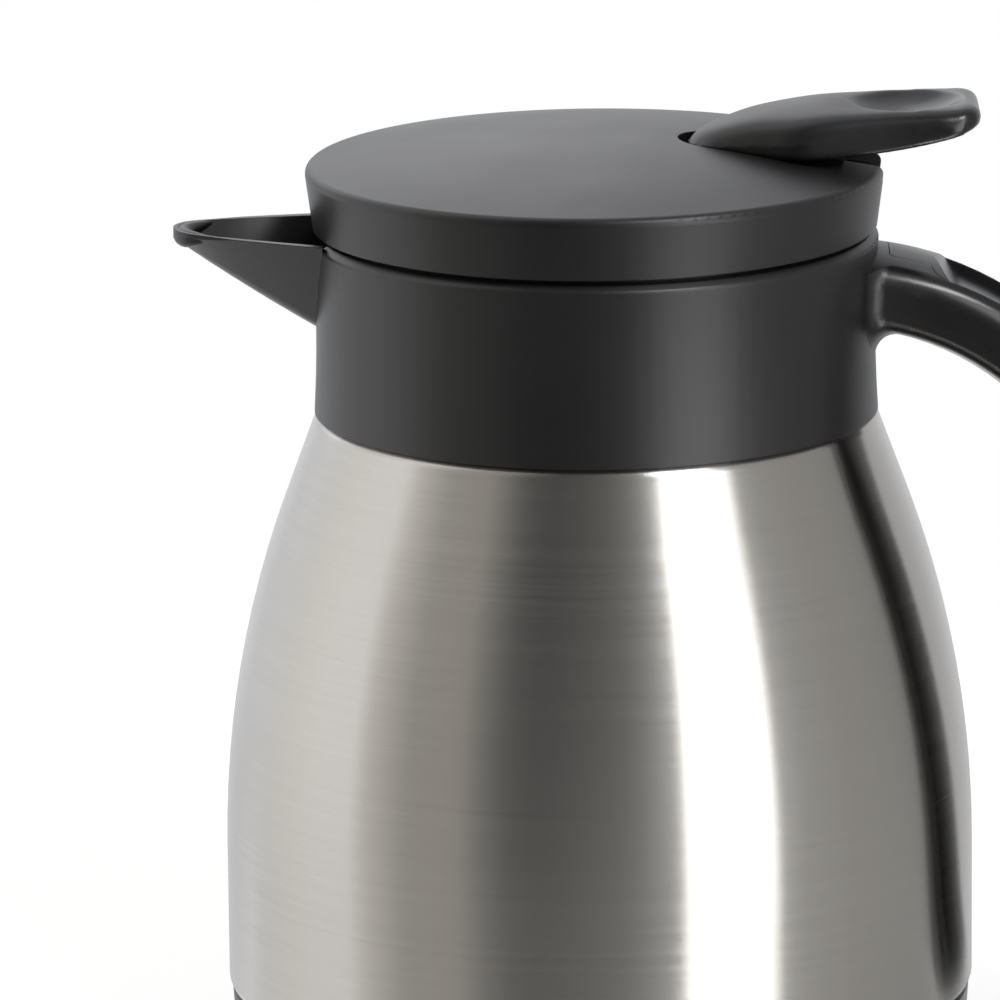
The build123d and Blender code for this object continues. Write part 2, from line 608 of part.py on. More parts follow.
def tongue(grow, ahead=0.0):
    """Plan of the thumb lever: a round nose, a swell in the middle and a blunt tip with round corners."""
    circles = [(lever_nose_x + lever_nose_r - ahead, 0, lever_nose_r + grow), (lever_mid_x, 0, lever_mid_r + grow),
               (lever_tip_x - lever_tip_r, lever_tip_half - lever_tip_r, lever_tip_r + grow)]
    ends, slopes = [], []
    for (x1, y1, r1), (x2, y2, r2) in zip(circles, circles[1:]):
        slope = atan2(y2 - y1, x2 - x1) + asin((r2 - r1) / sqrt((x2 - x1) ** 2 + (y2 - y1) ** 2))
        ends.append([(x - r * sin(slope), y + r * cos(slope)) for x, y, r in ((x1, y1, r1), (x2, y2, r2))])
        slopes.append(slope)
    middle = sum(slopes) / 2
    crest = (lever_mid_x - (lever_mid_r + grow) * sin(middle), (lever_mid_r + grow) * cos(middle))
    corner_x, corner_y, corner_r = circles[2]
    half_way = (radians(90) + slopes[1]) / 2
    corner = (corner_x + corner_r * cos(half_way), corner_y + corner_r * sin(half_way))
    tip = (corner_x + corner_r, corner_y)
    edges = [ThreePointArc((ends[0][0][0], -ends[0][0][1]), (lever_nose_x - ahead - grow, 0), ends[0][0]),
             Line(tip, (tip[0], -tip[1]))]
    for side in (1, -1):
        near, swell_1, crest_1, swell_2, far, corner_1, tip_1 = [
            (x, side * y) for x, y in (ends[0][0], ends[0][1], crest, ends[1][0], ends[1][1], corner, tip)]
        edges += [Line(near, swell_1), ThreePointArc(swell_1, crest_1, swell_2), Line(swell_2, far),
                  ThreePointArc(far, corner_1, tip_1)]
    return make_face(edges)


lid_outer = lid_form(0, lid_bottom_z)
lid_room = lid_form(lid_wall, lid_bottom_z)
deck_top = deck_z + deck
pocket_ahead = pocket_nose_gap - pocket_gap
pocket_block = extrude(tongue(pocket_gap + pocket_wall, pocket_ahead), 12)
pocket_block = Pos(0, 0, pocket_floor_z - pocket_wall) * pocket_block
lid_room -= pocket_block
screw_spots = [(screw_circle_r * cos(radians(a)), screw_circle_r * sin(radians(a))) for a in screw_angles]
pilot_top = deck_z + screw_length + 1.0
for x, y in screw_spots:
    lid_room -= Pos(x, y, 0) * ring(screw_r + screw_gap / 2, screw_boss_r, deck_top + deck_gap / 4, pilot_top + 10)
    lid_room -= Pos(x, y, 0) * ring(0, screw_boss_r, pilot_top, pilot_top + 10)
lid_cover = lid_outer - lid_room
lid_cover -= Pos(0, 0, pocket_floor_z) * extrude(tongue(pocket_gap, pocket_ahead), 12)
slot_half = web_half + slot_gap
slot_plan = Pos(slot_start_x, 0) * RectangleRounded(2 * (lid_max_r + 4 - slot_start_x), 2 * slot_half, 2.0)
slot_plan = Pos(lid_max_r + 4 - slot_start_x, 0) * slot_plan
lid_cover -= Pos(0, 0, slot_floor_z) * extrude(slot_plan, 15)

# Stopper body: deck, ring in the collar's bore, ring that centres the plug, guide boss and pivot ears
deck_r = lid_bottom_r - lid_wall - deck_gap
bore_ring_r = bore - bore_gap
plug_in = plug_r - plug_wall
locate_r = plug_in - locate_gap
stopper_body = turned(outline(
    (stem_r + stem_run, boss_bottom_z), (boss_r, boss_bottom_z), (boss_r, deck_z), (locate_r - locate_wall, deck_z),
    (locate_r - locate_wall, deck_z - locate_height), (locate_r, deck_z - locate_height), (locate_r, deck_z),
    (bore_ring_r - bore_ring_wall, deck_z), (bore_ring_r - bore_ring_wall, bore_ring_z), (bore_ring_r, bore_ring_z),
    (bore_ring_r, deck_z), (deck_r, deck_z), (deck_r, deck_top), (stem_r + stem_run, deck_top),
    rounds=(((boss_r, deck_z), 1.5), ((bore_ring_r, bore_ring_z), 0.6))))

# Plug sleeve, welded up against the deck: seal groove and pour windows
plug_sleeve = turned(outline(
    (plug_in, plug_bottom_z), (plug_r, plug_bottom_z), (plug_r, seal_z), (plug_r - seal_groove, seal_z),
    (plug_r - seal_groove, seal_z + seal_height), (plug_r, seal_z + seal_height), (plug_r, deck_z), (plug_in, deck_z)))
window = extrude(Plane.YZ * RectangleRounded(2 * plug_r * sin(radians(window_angle / 2)), window_height, 2.4),
                 plug_r + 3)
for k in range(window_count):
    turn = 180 + 360 / window_count * k
    cut = Rot(0, 0, turn) * Pos(boss_r + 12, 0, window_z + window_height / 2) * window
    plug_sleeve -= cut & ring(boss_r + 12, plug_r + 1, window_z - 1, window_z + window_height + 1)
wiper_r = stem_r + wiper_wall
stopper_body -= ring(0, wiper_r, wiper_z, wiper_z + wiper_height)
for x, y in screw_spots:
    stopper_body -= Pos(x, y, 0) * ring(0, screw_r + screw_gap, deck_z - 1, deck_top + 1)
ear_plan = make_hull((Pos(pivot_x, pivot_z) * Circle(ear_r)).edges()
                     + (Pos(pivot_x, deck_top + 0.25) * Rectangle(2 * ear_r + 2.4, 0.5)).edges())
ear_inner = web_half + ear_gap
for side in (1, -1):
    ear = Pos(0, side * (ear_inner + ear_wall / 2), 0) * across(ear_plan, ear_wall / 2)
    stopper_body += ear
pin_half = ear_inner + ear_wall
pin_bore = Pos(pivot_x, 0, pivot_z) * Rot(90, 0, 0) * Cylinder(pin_r + 0.02, 2 * pin_half + 2)
stopper_body -= pin_bore

# Lever pin
lever_pin = Pos(pivot_x, 0, pivot_z) * Rot(90, 0, 0) * Cylinder(pin_r, 2 * pin_half)
lever_pin = chamfer(lever_pin.edges().filter_by(GeomType.CIRCLE), 0.3)

# Stopper seal: silicone ring with two lips, in the plug's groove
seal_in = plug_r - seal_groove + 0.02
seal_out = bore_r - seal_run
lip_h = seal_height / 2
stopper_seal = turned(outline(
    (seal_in, seal_z + 0.05), (seal_out - 0.3, seal_z + 0.05), (seal_out, seal_z + 0.45 * lip_h),
    (seal_out - 0.5, seal_z + 0.8 * lip_h), (seal_out - 0.5, seal_z + 1.2 * lip_h),
    (seal_out, seal_z + 1.55 * lip_h), (seal_out - 0.3, seal_z + seal_height - 0.05),
    (seal_in, seal_z + seal_height - 0.05)))

# Stem wiper, kept in the boss
stem_wiper = ring(stem_r + stem_run / 2, wiper_r - 0.03, wiper_z + 0.05, wiper_z + wiper_height - 0.05)

# Valve seat: bottom plate of the plug, with the port and its ridge
seat_top = plug_bottom_z
ridge_top = seat_top + ridge_height
spigot_out = plug_in - spigot_gap
groove_z = seat_top + 0.4 * spigot_height
groove_in = spigot_out - 0.55 * oring_wire
valve_seat = turned(outline(
    (port_r, seat_top - seat_plate), (plug_r, seat_top - seat_plate), (plug_r, seat_top), (spigot_out, seat_top),
    (spigot_out, groove_z), (groove_in, groove_z), (groove_in, groove_z + oring_wire), (spigot_out, groove_z + oring_wire),
    (spigot_out, seat_top + spigot_height), (spigot_out - spigot_wall, seat_top + spigot_height),
    (spigot_out - spigot_wall, seat_top), (port_r + ridge_wall, seat_top), (port_r + ridge_wall, ridge_top),
    (port_r, ridge_top), rounds=(((plug_r, seat_top - seat_plate), 1.2), ((port_r, seat_top - seat_plate), 0.8),
                                 ((port_r + ridge_wall, ridge_top), 0.4), ((port_r, ridge_top), 0.4))))
seat_o_ring = turned(outline(
    (groove_in + 0.02, groove_z + 0.05), (spigot_out + spigot_gap / 2, groove_z + 0.05),
    (spigot_out + spigot_gap / 2, groove_z + oring_wire - 0.05), (groove_in + 0.02, groove_z + oring_wire - 0.05),
    rounds=(((spigot_out + spigot_gap / 2, groove_z + 0.05), 0.4),
            ((spigot_out + spigot_gap / 2, groove_z + oring_wire - 0.05), 0.4))))

# Valve: stem, disc with its hub, silicone washer under it, nut below
washer_low = ridge_top + valve_gap
washer_top = washer_low + washer_wall
disc_top = washer_top + disc_thick
hub_top = disc_top + hub_height
stem_hole = stem_r + 0.02
washer_r = disc_r - 0.8
valve_disc = turned(outline(
    (stem_hole, washer_low), (hub_r, washer_low), (hub_r, washer_top), (disc_r, washer_top), (disc_r, disc_top),
    (hub_r, disc_top), (hub_r, hub_top), (stem_hole, hub_top),
    rounds=(((disc_r, disc_top), 0.6), ((hub_r, disc_top), 1.0), ((hub_r, hub_top), 0.6))))
valve_washer = ring(hub_r + 0.03, washer_r, washer_low, washer_top)
valve_washer = fillet(valve_washer.edges().filter_by(GeomType.CIRCLE).sort_by(Axis.Z)[:2].sort_by(SortBy.RADIUS)[-1:], 0.4)
nut_plan = RegularPolygon(nut_across / 2, 6, major_radius=False) - Circle(stem_hole)
stem_nut = Pos(0, 0, washer_low - nut_height) * extrude(nut_plan, nut_height)
stem_nut += ring(stem_hole, nut_flange_r, washer_low - nut_flange, washer_low)
cross_pin_z = arm_bottom_z + arm_height + valve_gap + cross_pin_r
stem_length = stem_top_z - stem_bottom_z
valve_stem = Pos(0, 0, stem_bottom_z) * Cylinder(stem_r, stem_length, align=(Align.CENTER, Align.CENTER, Align.MIN))
valve_stem = chamfer(valve_stem.edges().filter_by(GeomType.CIRCLE), 0.5)
valve_stem -= Pos(0, 0, cross_pin_z) * Rot(90, 0, 0) * Cylinder(cross_pin_r + 0.02, 20)
cross_half = arm_half - 0.2
stem_pin = Pos(0, 0, cross_pin_z) * Rot(90, 0, 0) * Cylinder(cross_pin_r, 2 * cross_half)
stem_pin = chamfer(stem_pin.edges().filter_by(GeomType.CIRCLE), 0.3)

# Valve spring, between the disc and the guide boss
spring_low = disc_top + spring_wire / 2 + 0.02
spring_high = boss_bottom_z - spring_wire / 2 - 0.02
coil = Helix(pitch=(spring_high - spring_low) / spring_turns, height=spring_high - spring_low, radius=spring_r,
             center=(0, 0, spring_low))
coil_plane = Plane(origin=coil @ 0, z_dir=coil % 0)
valve_spring = sweep(coil_plane * Circle(spring_wire / 2), path=coil, is_frenet=True)

# Screws from the plug's room up into the cover's bosses
lid_screws = []
for x, y in screw_spots:
    screw = ring(0, screw_r, deck_z, deck_z + screw_length) + ring(0, screw_head_r, deck_z - screw_head, deck_z)
    screw = fillet(screw.edges().filter_by(GeomType.CIRCLE).sort_by(Axis.Z)[:1], 0.9)
    cross = Box(3.2, 0.9, 2.4) + Box(0.9, 3.2, 2.4)
    screw -= Pos(0, 0, deck_z - screw_head) * cross
    lid_screws.append(Pos(x, y, 0) * screw)

# Lever: thumb plate, web through the slot, arm to the stem with a fork at its end
plate_low_z = pocket_floor_z + lever_rest_gap
lever_run = lever_tip_x - lever_nose_x
top_stations = ((-0.037, lever_nose_high), (0.112, lever_neck_high), (0.312, lever_web_high),
                (0.573, lever_mid_high), (0.851, lever_pad_high), (1.037, lever_tip_high))
low_stations = ((-0.037, 0.0), (0.224, lever_neck_low), (0.461, lever_web_low), (0.647, lever_mid_low),
                (0.851, lever_pad_low), (1.037, lever_tip_low))
plate_top = Spline(*[(lever_nose_x + share * lever_run, plate_low_z + high) for share, high in top_stations])
plate_bottom = Spline(*[(lever_nose_x + share * lever_run, plate_low_z + low) for share, low in low_stations])
plate_side = make_face([plate_top, plate_bottom, Line(plate_top @ 0, plate_bottom @ 0),
                        Line(plate_top @ 1, plate_bottom @ 1)])
plate = across(plate_side, lever_mid_r + 5) & Pos(0, 0, deck_z) * extrude(tongue(0), 40)
plate = fillet(plate.faces().sort_by(Axis.Z)[-1].edges(), lever_edge_round)
plate = fillet(plate.faces().sort_by(Axis.Z)[0].edges(), lever_bottom_round)
dimple_top = plate_top @ ((dimple_x - lever_nose_x + 0.037 * lever_run) / (1.074 * lever_run))
bowl = scale(Sphere(1), by=(dimple_long / cos(radians(30)), dimple_wide / cos(radians(30)), 2 * dimple_depth))
plate -= Pos(dimple_x, 0, dimple_top.Y + dimple_depth) * bowl
arm_top_z = arm_bottom_z + arm_height
web_top_z = plate_low_z + 2.5
web_rise = (web_end_x - pivot_x - 1) * tan(radians(press_angle)) + 0.8
web = across(make_face(Polyline((web_start_x, arm_bottom_z), (pivot_x + 1, arm_bottom_z),
                                (web_end_x, arm_bottom_z + web_rise), (web_end_x, web_top_z),
                                (web_start_x, web_top_z), close=True)), web_half)
arm_plan = Rectangle(web_start_x + fork_overlap + 3, 2 * arm_half, align=(Align.MIN, Align.CENTER))
arm_plan = fillet((Pos(-fork_overlap, 0) * arm_plan).vertices().sort_by(Axis.X)[:2], 1.2)
fork_half = stem_r + fork_gap
fork_slot = Circle(fork_half) + Pos(-fork_overlap - 1, 0) * Rectangle(fork_overlap + 1, 2 * fork_half,
                                                                      align=(Align.MIN, Align.CENTER))
arm = Pos(0, 0, arm_bottom_z) * extrude(arm_plan - fork_slot, arm_height)
lever = plate + web + arm
lever -= Pos(pivot_x, 0, pivot_z) * Rot(90, 0, 0) * Cylinder(pin_r + pin_gap, 2 * web_half + 2)

os.makedirs("parts", exist_ok=True)
nodes = {
    "outer_shell": outer_shell, "inner_liner": inner_liner, "liner_floor": liner_floor, "shell_bottom": shell_bottom,
    "vacuum_seal": vacuum_seal, "base_cap": base_cap, "neck_gasket": neck_gasket,
    "pouring_collar": pouring_collar, "handle_insert": handle_insert, "lid_cover": lid_cover,
    "stopper_body": stopper_body, "plug_sleeve": plug_sleeve, "lever_pin": lever_pin, "lid_screws": Compound(lid_screws),
    "stopper_seal": stopper_seal, "stem_wiper": stem_wiper, "valve_seat": valve_seat,
    "seat_o_ring": seat_o_ring, "valve_disc": valve_disc, "valve_washer": valve_washer,
    "stem_nut": stem_nut, "valve_stem": valve_stem, "stem_pin": stem_pin,
    "valve_spring": valve_spring, "lever": lever,
}
for name, shape in nodes.items():
    export_step(shape, f"parts/{name}.step")
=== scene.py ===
import math

import bpy
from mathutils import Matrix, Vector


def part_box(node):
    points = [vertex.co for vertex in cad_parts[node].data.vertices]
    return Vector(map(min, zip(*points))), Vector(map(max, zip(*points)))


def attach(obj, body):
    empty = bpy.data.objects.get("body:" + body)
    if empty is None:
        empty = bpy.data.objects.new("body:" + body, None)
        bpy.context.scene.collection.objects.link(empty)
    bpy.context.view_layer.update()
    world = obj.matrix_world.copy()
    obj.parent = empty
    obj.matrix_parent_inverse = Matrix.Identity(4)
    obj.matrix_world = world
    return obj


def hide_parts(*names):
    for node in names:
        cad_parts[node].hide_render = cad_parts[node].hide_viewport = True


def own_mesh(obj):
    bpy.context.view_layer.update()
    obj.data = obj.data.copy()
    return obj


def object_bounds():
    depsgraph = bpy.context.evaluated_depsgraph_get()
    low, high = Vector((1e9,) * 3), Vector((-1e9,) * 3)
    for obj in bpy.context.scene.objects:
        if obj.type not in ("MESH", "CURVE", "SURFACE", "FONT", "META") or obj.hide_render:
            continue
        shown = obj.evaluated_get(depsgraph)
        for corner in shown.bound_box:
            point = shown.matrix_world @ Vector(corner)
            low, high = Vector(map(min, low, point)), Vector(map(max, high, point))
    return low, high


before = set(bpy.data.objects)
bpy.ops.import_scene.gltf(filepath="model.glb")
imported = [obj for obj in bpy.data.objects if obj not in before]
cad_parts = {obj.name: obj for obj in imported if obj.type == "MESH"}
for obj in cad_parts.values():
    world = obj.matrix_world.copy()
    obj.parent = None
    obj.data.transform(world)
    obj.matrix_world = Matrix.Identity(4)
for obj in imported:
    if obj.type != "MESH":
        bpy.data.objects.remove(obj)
bpy.ops.object.select_all(action="DESELECT")
cad_low, cad_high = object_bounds()

# Camera: a long lens a little above the lid, so near that the carafe's foot drops out of the
# picture, aimed to the left of the bottle's axis to leave room for the spout.
camera_place = (0.0, -1.63501, 0.49052)
camera_turn = (76.683982, 0.570246, 0.499499)
camera_lens = 324.0
bpy.ops.object.camera_add(location=camera_place, rotation=[math.radians(a) for a in camera_turn])
camera = bpy.context.object
camera.name = "camera"
camera.data.lens = camera_lens
camera.data.sensor_width = 36.0
camera.data.clip_start = 0.05
camera.data.clip_end = 50.0
bpy.context.scene.camera = camera
bpy.context.scene.view_settings.view_transform = "Standard"


def linear(code):
    """Linear colour with full alpha from an sRGB hex code."""
    values = [int(code[i:i + 2], 16) / 255 for i in (1, 3, 5)]
    return [v / 12.92 if v <= 0.04045 else ((v + 0.055) / 1.055) ** 2.4 for v in values] + [1.0]


def add(tree, kind, inputs=None, **settings):
    """One node with its settings; an input is a value, or the socket of another node that feeds it."""
    node = tree.nodes.new(kind)
    for name, value in settings.items():
        setattr(node, name, value)
    for name, value in (inputs or {}).items():
        if isinstance(value, bpy.types.NodeSocket):
            tree.links.new(value, node.inputs[name])
        else:
            node.inputs[name].default_value = value
    return node


# Room: the white sweep behind, and the cards, lit walls and dark gaps round the table that the
# steel mirrors as upright bands. Each has its direction from the camera towards the right, and its shade.
cards = ((-180, "#e6e7eb"), (-150, "#e1e3e8"), (-132, "#ebecef"), (-112, "#f8f7f4"), (-98, "#ffffff"),
         (-83, "#ffffff"), (-77, "#d5d3ce"), (-70, "#c1bfba"), (-62, "#a4a39f"), (-52, "#a8a59f"),
         (-44, "#a3a19c"), (-40, "#8a8988"), (-35, "#767573"), (-29, "#5b5a5a"), (-20, "#505050"),
         (-12, "#565656"), (-2, "#626261"), (7, "#707070"), (13, "#838383"), (20, "#a0a0a0"),
         (55, "#d4d4d4"), (61, "#bfbfbf"), (67, "#aeaead"), (84, "#a4a3a1"), (106, "#9e9e9c"),
         (120, "#9c9c9c"), (128, "#b4b4b5"), (142, "#bdbebf"), (160, "#d3d4d7"), (180, "#e6e7eb"))
world = bpy.data.worlds.new("studio")
bpy.context.scene.world = world
world.use_nodes = True
room = world.node_tree
room.nodes.clear()
room_direction = add(room, "ShaderNodeTexCoord")
room_turned = add(room, "ShaderNodeMapping", {"Vector": room_direction.outputs["Generated"],
                                              "Rotation": (0, 0, math.radians(90))})
room_azimuth = add(room, "ShaderNodeTexGradient", {"Vector": room_turned.outputs["Vector"]}, gradient_type="RADIAL")
room_cards = add(room, "ShaderNodeValToRGB", {"Fac": room_azimuth.outputs["Fac"]})
stops = room_cards.color_ramp.elements
for k, (angle, shade) in enumerate(cards):
    position = angle / 360 + 0.5
    stop = stops[k] if k < 2 else stops.new(position)
    stop.position = position
    stop.color = linear(shade)
room_path = add(room, "ShaderNodeLightPath")
room_seen = add(room, "ShaderNodeMath", {0: room_path.outputs["Is Camera Ray"],
                                         1: room_path.outputs["Is Transmission Ray"]}, operation="MAXIMUM")
room_white = add(room, "ShaderNodeBackground", {"Color": linear("#ffffff"), "Strength": 1.0})
room_lit = add(room, "ShaderNodeBackground", {"Color": room_cards.outputs["Color"], "Strength": 1.0})
room_mixed = add(room, "ShaderNodeMixShader", {0: room_seen.outputs["Value"], 1: room_lit.outputs["Background"],
                                               2: room_white.outputs["Background"]})
add(room, "ShaderNodeOutputWorld", {"Surface": room_mixed.outputs["Shader"]})

# Tall softbox at the right front: it draws the white band down the steel.
softbox_distance = 1.3
softbox_height = 0.45
softbox_azimuth = math.radians(40.0)
bpy.ops.object.light_add(type="AREA", location=(softbox_distance * math.sin(softbox_azimuth),
                                                -softbox_distance * math.cos(softbox_azimuth), softbox_height),
                         rotation=(math.radians(90), 0, softbox_azimuth))
softbox = bpy.context.object
softbox.name = "tall_softbox"
softbox.data.shape = "RECTANGLE"
softbox.data.size = 0.67
softbox.data.size_y = 1.50
softbox.data.energy = 6.6

# Wide softbox behind, to the left and low: it lightens the lid's top and lets what turns towards the
# camera fall dark.
back_height = 0.80
back_behind = 1.10
back_left = 0.45
bpy.ops.object.light_add(type="AREA", location=(-back_left, back_behind, back_height),
                         rotation=(-math.atan2(back_behind, back_height - cad_high[2]), 0,
                                   math.atan2(back_left, back_behind)))
back_box = bpy.context.object
back_box.name = "back_softbox"
back_box.data.shape = "RECTANGLE"
back_box.data.size = 1.15
back_box.data.size_y = 0.8
back_box.data.energy = 1.56

# Strip above the tall softbox: a bright line along every rounded edge that faces up and forwards.
strip_distance = 0.71
strip_height = 1.0
strip_azimuth = math.radians(42.0)
bpy.ops.object.light_add(type="AREA", location=(strip_distance * math.sin(strip_azimuth),
                                                -strip_distance * math.cos(strip_azimuth), strip_height),
                         rotation=(math.atan2(strip_distance, strip_height - cad_high[2]), 0, strip_azimuth))
strip = bpy.context.object
strip.name = "edge_strip"
strip.data.shape = "RECTANGLE"
strip.data.size = 0.38
strip.data.size_y = 0.22
strip.data.energy = 2.8

# Table: a round of polished pale acrylic, a hair below the foot, whose mirror of the bottle is dimmed.
table_radius = 0.34
table_height = -0.0001
table_rim = 0.05
bpy.ops.mesh.primitive_circle_add(vertices=96, radius=table_radius, fill_type="NGON",
                                  location=(0, 0, table_height))
table_top = bpy.context.object
table_top.name = "table_top"
bpy.ops.object.mode_set(mode="EDIT")
bpy.ops.mesh.inset(thickness=table_rim)
bpy.ops.object.mode_set(mode="OBJECT")
bpy.ops.object.transform_apply(location=True, rotation=True, scale=True)
table_paint = bpy.data.materials.new("polished_pale_acrylic")
table_paint.use_nodes = True
table_tree = table_paint.node_tree
table_tree.nodes.clear()
# Seen straight on the table is as white as the sweep, less the object's own shadow
table_path = add(table_tree, "ShaderNodeLightPath")
table_seen = add(table_tree, "ShaderNodeMath", {0: table_path.outputs["Is Camera Ray"],
                                                1: table_path.outputs["Is Transmission Ray"]}, operation="MAXIMUM")
table_share = add(table_tree, "ShaderNodeMath", {0: table_seen.outputs["Value"], 1: 0.70}, operation="MULTIPLY")
table_diffuse = add(table_tree, "ShaderNodeBsdfDiffuse", {"Color": linear("#f2f1ee")})
table_polish = add(table_tree, "ShaderNodeBsdfGlossy", {"Color": linear("#f6f6f6"), "Roughness": 0.12})
table_mirror = add(table_tree, "ShaderNodeMath", {0: table_path.outputs["Is Glossy Ray"], 1: 0.85},
                   operation="MULTIPLY")
table_body = add(table_tree, "ShaderNodeMixShader", {0: table_mirror.outputs["Value"],
                                                     1: table_diffuse.outputs["BSDF"],
                                                     2: table_polish.outputs["BSDF"]})
table_white = add(table_tree, "ShaderNodeEmission", {"Color": linear("#ffffff"), "Strength": 1.22})
table_mix = add(table_tree, "ShaderNodeMixShader", {0: table_share.outputs["Value"], 1: table_body.outputs["Shader"],
                                                    2: table_white.outputs["Emission"]})
add(table_tree, "ShaderNodeOutputMaterial", {"Surface": table_mix.outputs["Shader"]})
table_top.data.materials.append(table_paint)


# Outer shell: the bottle's visible wall, deep-drawn from 0.8 mm stainless sheet and brushed on a
# lathe, so that its fine grooves run round it and draw every reflection out upwards.
def new_finish(name):
    """Material with its node tree and its one Principled shader."""
    material = bpy.data.materials.new(name)
    material.use_nodes = True
    return material, material.node_tree, material.node_tree.nodes["Principled BSDF"]


def dress(node_name, material):
    """Give a CAD node its one finish."""
    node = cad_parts[node_name]
    node.data.materials.clear()
    node.data.materials.append(material)


brushed_steel, steel_tree, steel_shader = new_finish("lathe_brushed_stainless")
steel_shader.inputs["Metallic"].default_value = 1.0
steel_shader.inputs["Anisotropic"].default_value = 1.0
steel_shader.inputs["Anisotropic Rotation"].default_value = 0.25
steel_round = add(steel_tree, "ShaderNodeTangent", direction_type="RADIAL", axis="Z")
steel_tree.links.new(steel_round.outputs["Tangent"], steel_shader.inputs["Tangent"])
steel_place = add(steel_tree, "ShaderNodeTexCoord")
# Grooves 0.25 mm apart, twice the real grit so that they show, and long round the bottle
steel_grooves = add(steel_tree, "ShaderNodeMapping", {"Vector": steel_place.outputs["Object"],
                                                      "Scale": (14.0, 14.0, 4000.0)})
steel_fine = add(steel_tree, "ShaderNodeTexNoise", {"Vector": steel_grooves.outputs["Vector"], "Scale": 1.0,
                                                    "Detail": 3.0, "Roughness": 0.6})
# Single deeper scratches about 2 mm apart that the belt leaves
steel_belt = add(steel_tree, "ShaderNodeMapping", {"Vector": steel_place.outputs["Object"],
                                                   "Scale": (9.0, 9.0, 900.0)})
steel_scratches = add(steel_tree, "ShaderNodeTexNoise", {"Vector": steel_belt.outputs["Vector"], "Scale": 1.0,
                                                         "Detail": 4.0, "Roughness": 0.7})
steel_both = add(steel_tree, "ShaderNodeMath", {0: steel_fine.outputs["Fac"], 1: steel_scratches.outputs["Fac"]},
                 operation="ADD")
steel_bump = add(steel_tree, "ShaderNodeBump", {"Height": steel_both.outputs["Value"], "Strength": 0.07,
                                                "Distance": 0.0001})
steel_tree.links.new(steel_bump.outputs["Normal"], steel_shader.inputs["Normal"])
steel_rough = add(steel_tree, "ShaderNodeMapRange", {"Value": steel_both.outputs["Value"], "From Min": 0.6,
                                                     "From Max": 1.4, "To Min": 0.20, "To Max": 0.28})
steel_tree.links.new(steel_rough.outputs["Result"], steel_shader.inputs["Roughness"])
steel_tone = add(steel_tree, "ShaderNodeMix", {"Factor": steel_scratches.outputs["Fac"], "A": linear("#c8c5c0"),
                                               "B": linear("#d3d0cb")}, data_type="RGBA")
steel_tree.links.new(steel_tone.outputs["Result"], steel_shader.inputs["Base Color"])
dress("outer_shell", brushed_steel)

# Inner liner with its welded floor, and the dish that closes the vacuum space below: the same
# sheet left as drawn, satin and even, with the faint rings that the drawing punch leaves.
drawn_steel, drawn_tree, drawn_shader = new_finish("satin_drawn_stainless")
drawn_shader.inputs["Base Color"].default_value = linear("#c6c4c0")
drawn_shader.inputs["Metallic"].default_value = 1.0
drawn_place = add(drawn_tree, "ShaderNodeTexCoord")
# Rings 4 mm apart, broken up by a cloudiness of 15 mm
drawn_rings = add(drawn_tree, "ShaderNodeTexWave", {"Vector": drawn_place.outputs["Object"], "Scale": 78.0,
                                                    "Distortion": 1.5, "Detail": 2.0}, wave_type="BANDS",
                  bands_direction="Z")
drawn_cloud = add(drawn_tree, "ShaderNodeTexNoise", {"Vector": drawn_place.outputs["Object"], "Scale": 65.0,
                                                     "Detail": 3.0})
drawn_both = add(drawn_tree, "ShaderNodeMath", {0: drawn_rings.outputs["Fac"], 1: drawn_cloud.outputs["Fac"]},
                 operation="MULTIPLY")
drawn_rough = add(drawn_tree, "ShaderNodeMapRange", {"Value": drawn_both.outputs["Value"], "From Min": 0.0,
                                                     "From Max": 0.7, "To Min": 0.28, "To Max": 0.42})
drawn_tree.links.new(drawn_rough.outputs["Result"], drawn_shader.inputs["Roughness"])
for name in ("inner_liner", "liner_floor", "shell_bottom"):
    dress(name, drawn_steel)

# Vacuum seal: a bead of nickel braze, melted over the evacuation hole in the furnace, dull and pitted.
braze, braze_tree, braze_shader = new_finish("furnace_nickel_braze")
braze_shader.inputs["Base Color"].default_value = linear("#a59d8c")
braze_shader.inputs["Metallic"].default_value = 1.0
braze_shader.inputs["Roughness"].default_value = 0.55
braze_place = add(braze_tree, "ShaderNodeTexCoord")
# Pits of about 0.4 mm
braze_pits = add(braze_tree, "ShaderNodeTexNoise", {"Vector": braze_place.outputs["Object"], "Scale": 2500.0,
                                                    "Detail": 3.0})
braze_bump = add(braze_tree, "ShaderNodeBump", {"Height": braze_pits.outputs["Fac"], "Strength": 0.6,
                                                "Distance": 0.0002})
braze_tree.links.new(braze_bump.outputs["Normal"], braze_shader.inputs["Normal"])
dress("vacuum_seal", braze)

# Base cap: a shallow cup moulded in black polypropylene and pressed into the steel's hem. Its mould
# was spark-eroded, which leaves a satin grain; the parts that hands reach rub smoother.
moulded_black, black_tree, black_shader = new_finish("spark_grained_black_polypropylene")
black_shader.inputs["IOR"].default_value = 1.50
black_shader.inputs["Specular IOR Level"].default_value = 0.72
black_place = add(black_tree, "ShaderNodeTexCoord")
# Flow of the melt shades the black in soft clouds of about 25 mm
black_flow = add(black_tree, "ShaderNodeTexNoise", {"Vector": black_place.outputs["Object"], "Scale": 40.0,
                                                    "Detail": 3.0})
black_tone = add(black_tree, "ShaderNodeMix", {"Factor": black_flow.outputs["Fac"], "A": linear("#101011"),
                                               "B": linear("#151516")}, data_type="RGBA")
black_tree.links.new(black_tone.outputs["Result"], black_shader.inputs["Base Color"])
# Spark-eroded grain of about 0.3 mm
black_grain = add(black_tree, "ShaderNodeTexNoise", {"Vector": black_place.outputs["Object"], "Scale": 3300.0,
                                                     "Detail": 2.0})
